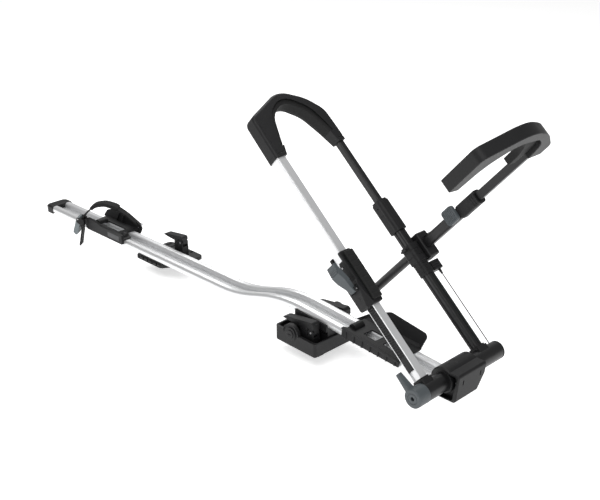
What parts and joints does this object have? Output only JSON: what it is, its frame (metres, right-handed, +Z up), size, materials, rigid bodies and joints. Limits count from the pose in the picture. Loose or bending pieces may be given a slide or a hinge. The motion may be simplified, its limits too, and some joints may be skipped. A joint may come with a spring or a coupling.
{
  "type": "roof mounted bike carrier",
  "caption": "Roof bike carrier: an aluminium wheel tray with clamping feet, wheel cradles and strap, and a folding telescopic hoop with a hooked second arm.",
  "frame": {"origin": "middle of the front foot's underside, where it rests on the front load bar", "axes": "+X along the tray towards the housing and pivot tube at its front end, +Y to the side of the second arm, +Z up"},
  "size_m": [1.7441, 0.3078, 0.7083],
  "materials": {
    "satin_silver": "satin anodised",
    "black_plastic": "fine grain, matte",
    "black_metal": "satin black coating",
    "slate_plastic": "satin, slate grey",
    "grey_lever_plastic": "satin, mid grey",
    "black_rubber": "matte",
    "bright_steel": "brushed"
  },
  "bodies": {
    "base": {"wheel_tray": "satin_silver", "tray_end_cap": "black_plastic", "front_housing": "black_plastic", "pivot_bushes": "black_plastic", "front_foot_housing": "black_plastic", "foot_pads": "black_rubber", "foot_saddle": "black_plastic", "rear_foot_plate": "black_plastic", "front_clamp_bodies": "black_plastic", "rear_clamp_body": "black_plastic", "clamp_pins": "bright_steel", "front_wheel_cradle": "black_plastic"},
    "hoop": {"pivot_tube": "black_metal", "pivot_tube_cap": "black_plastic", "leg_brackets": "black_plastic", "ratchet_bar": "satin_silver", "tooth_strip": "black_plastic", "far_lower_tube": "black_metal", "far_collar": "black_plastic", "junction_sleeve": "black_plastic", "arm_pivot_pin": "bright_steel", "cable_boss": "black_plastic", "cable_ferrule": "bright_steel", "release_cable": "bright_steel"},
    "head": {"silver_sleeve": "satin_silver", "slider_body": "black_plastic", "slider_grip": "black_rubber", "slider_rivets": "bright_steel", "paddle_pin": "bright_steel", "hoop_head": "black_plastic", "hoop_pad": "black_rubber", "far_rod": "black_metal"},
    "paddle": {"slider_paddle": "slate_plastic", "slider_pawl": "black_plastic"},
    "release": {"release_lever": "slate_plastic", "release_shaft": "bright_steel", "cable_drum": "black_plastic"},
    "arm": {"arm_block": "black_plastic", "arm_lower_tube": "black_metal", "arm_upper_tube": "black_metal", "arm_plugs": "black_plastic", "arm_collar": "black_plastic"},
    "button": {"arm_button": "slate_plastic"},
    "hook": {"arm_rod": "black_metal", "hook_head": "black_plastic", "hook_pad": "black_rubber"},
    "rear_cradle": {"rear_wheel_cradle": "black_plastic", "cradle_label": "black_plastic", "wheel_strap": "black_rubber", "strap_pad": "black_rubber", "strap_anchor": "bright_steel", "strap_buckle": "black_plastic", "buckle_pin": "bright_steel"},
    "buckle": {"buckle_lever": "grey_lever_plastic"},
    "clamp_near": {"clamp_lever_near": "black_plastic"},
    "clamp_far": {"clamp_lever_far": "black_plastic"},
    "clamp_rear": {"clamp_lever_rear": "black_plastic"},
    "foot_knob": {"foot_knob": "black_plastic"},
    "lock": {"housing_lock": "bright_steel"}
  },
  "joints": [
    {"name": "hoop_fold", "type": "hinge", "parent": "base", "child": "hoop", "pos_m": [0.424, 0, 0.072], "axis": [0, 1, 0], "range_deg": [-38, 50]},
    {"name": "hoop_slide", "type": "slide", "parent": "hoop", "child": "head", "axis": [-0.7478, 0, 0.6639], "range_m": [-0.11, 0.12]},
    {"name": "paddle_press", "type": "hinge", "parent": "head", "child": "paddle", "pos_m": [0.22708, -0.127, 0.25085], "axis": [-0.6639, 0, -0.7478], "range_deg": [0, 9], "stiffness_Nm_per_rad": 0.6, "springref_deg": -2.86},
    {"name": "release_turn", "type": "hinge", "parent": "hoop", "child": "release", "pos_m": [0.424, -0.135, 0.072], "axis": [0, 1, 0], "range_deg": [0, 35], "stiffness_Nm_per_rad": 1.2, "springref_deg": -5.73},
    {"name": "second_arm_tilt", "type": "hinge", "parent": "hoop", "child": "arm", "pos_m": [0.2049, 0.134, 0.26653], "axis": [0, 1, 0], "range_deg": [-55, 15]},
    {"name": "hook_slide", "type": "slide", "parent": "arm", "child": "hook", "axis": [0.6639, 0, 0.7478], "range_m": [-0.065, 0.06]},
    {"name": "arm_button_press", "type": "slide", "parent": "arm", "child": "button", "axis": [0, 1, 0], "range_m": [0, 0.0018], "stiffness_N_per_m": 600, "springref_m": -0.002},
    {"name": "rear_cradle_slide", "type": "slide", "parent": "base", "child": "rear_cradle", "axis": [1, 0, 0], "range_m": [-0.15, 0.07]},
    {"name": "buckle_open", "type": "hinge", "parent": "rear_cradle", "child": "buckle", "pos_m": [-0.95155, -0.05259, 0.062], "axis": [-0.5736, 0.8192, 0], "range_deg": [0, 70]},
    {"name": "clamp_near_open", "type": "hinge", "parent": "base", "child": "clamp_near", "pos_m": [0.037, -0.056, 0.05], "axis": [0, 1, 0], "range_deg": [0, 75]},
    {"name": "clamp_far_open", "type": "hinge", "parent": "base", "child": "clamp_far", "pos_m": [0.037, 0.056, 0.05], "axis": [0, 1, 0], "range_deg": [0, 75]},
    {"name": "clamp_rear_open", "type": "hinge", "parent": "base", "child": "clamp_rear", "pos_m": [-0.6, 0.06, 0.055], "axis": [0, 1, 0], "range_deg": [0, 75]},
    {"name": "foot_knob_turn", "type": "hinge", "parent": "base", "child": "foot_knob", "pos_m": [-0.012, -0.085, 0.037], "axis": [0, 1, 0], "range_deg": [0, 90]},
    {"name": "lock_turn", "type": "hinge", "parent": "base", "child": "lock", "pos_m": [0.4577, -0.037, 0.0765], "axis": [0, 1, 0], "range_deg": [0, 90]}
  ]
}
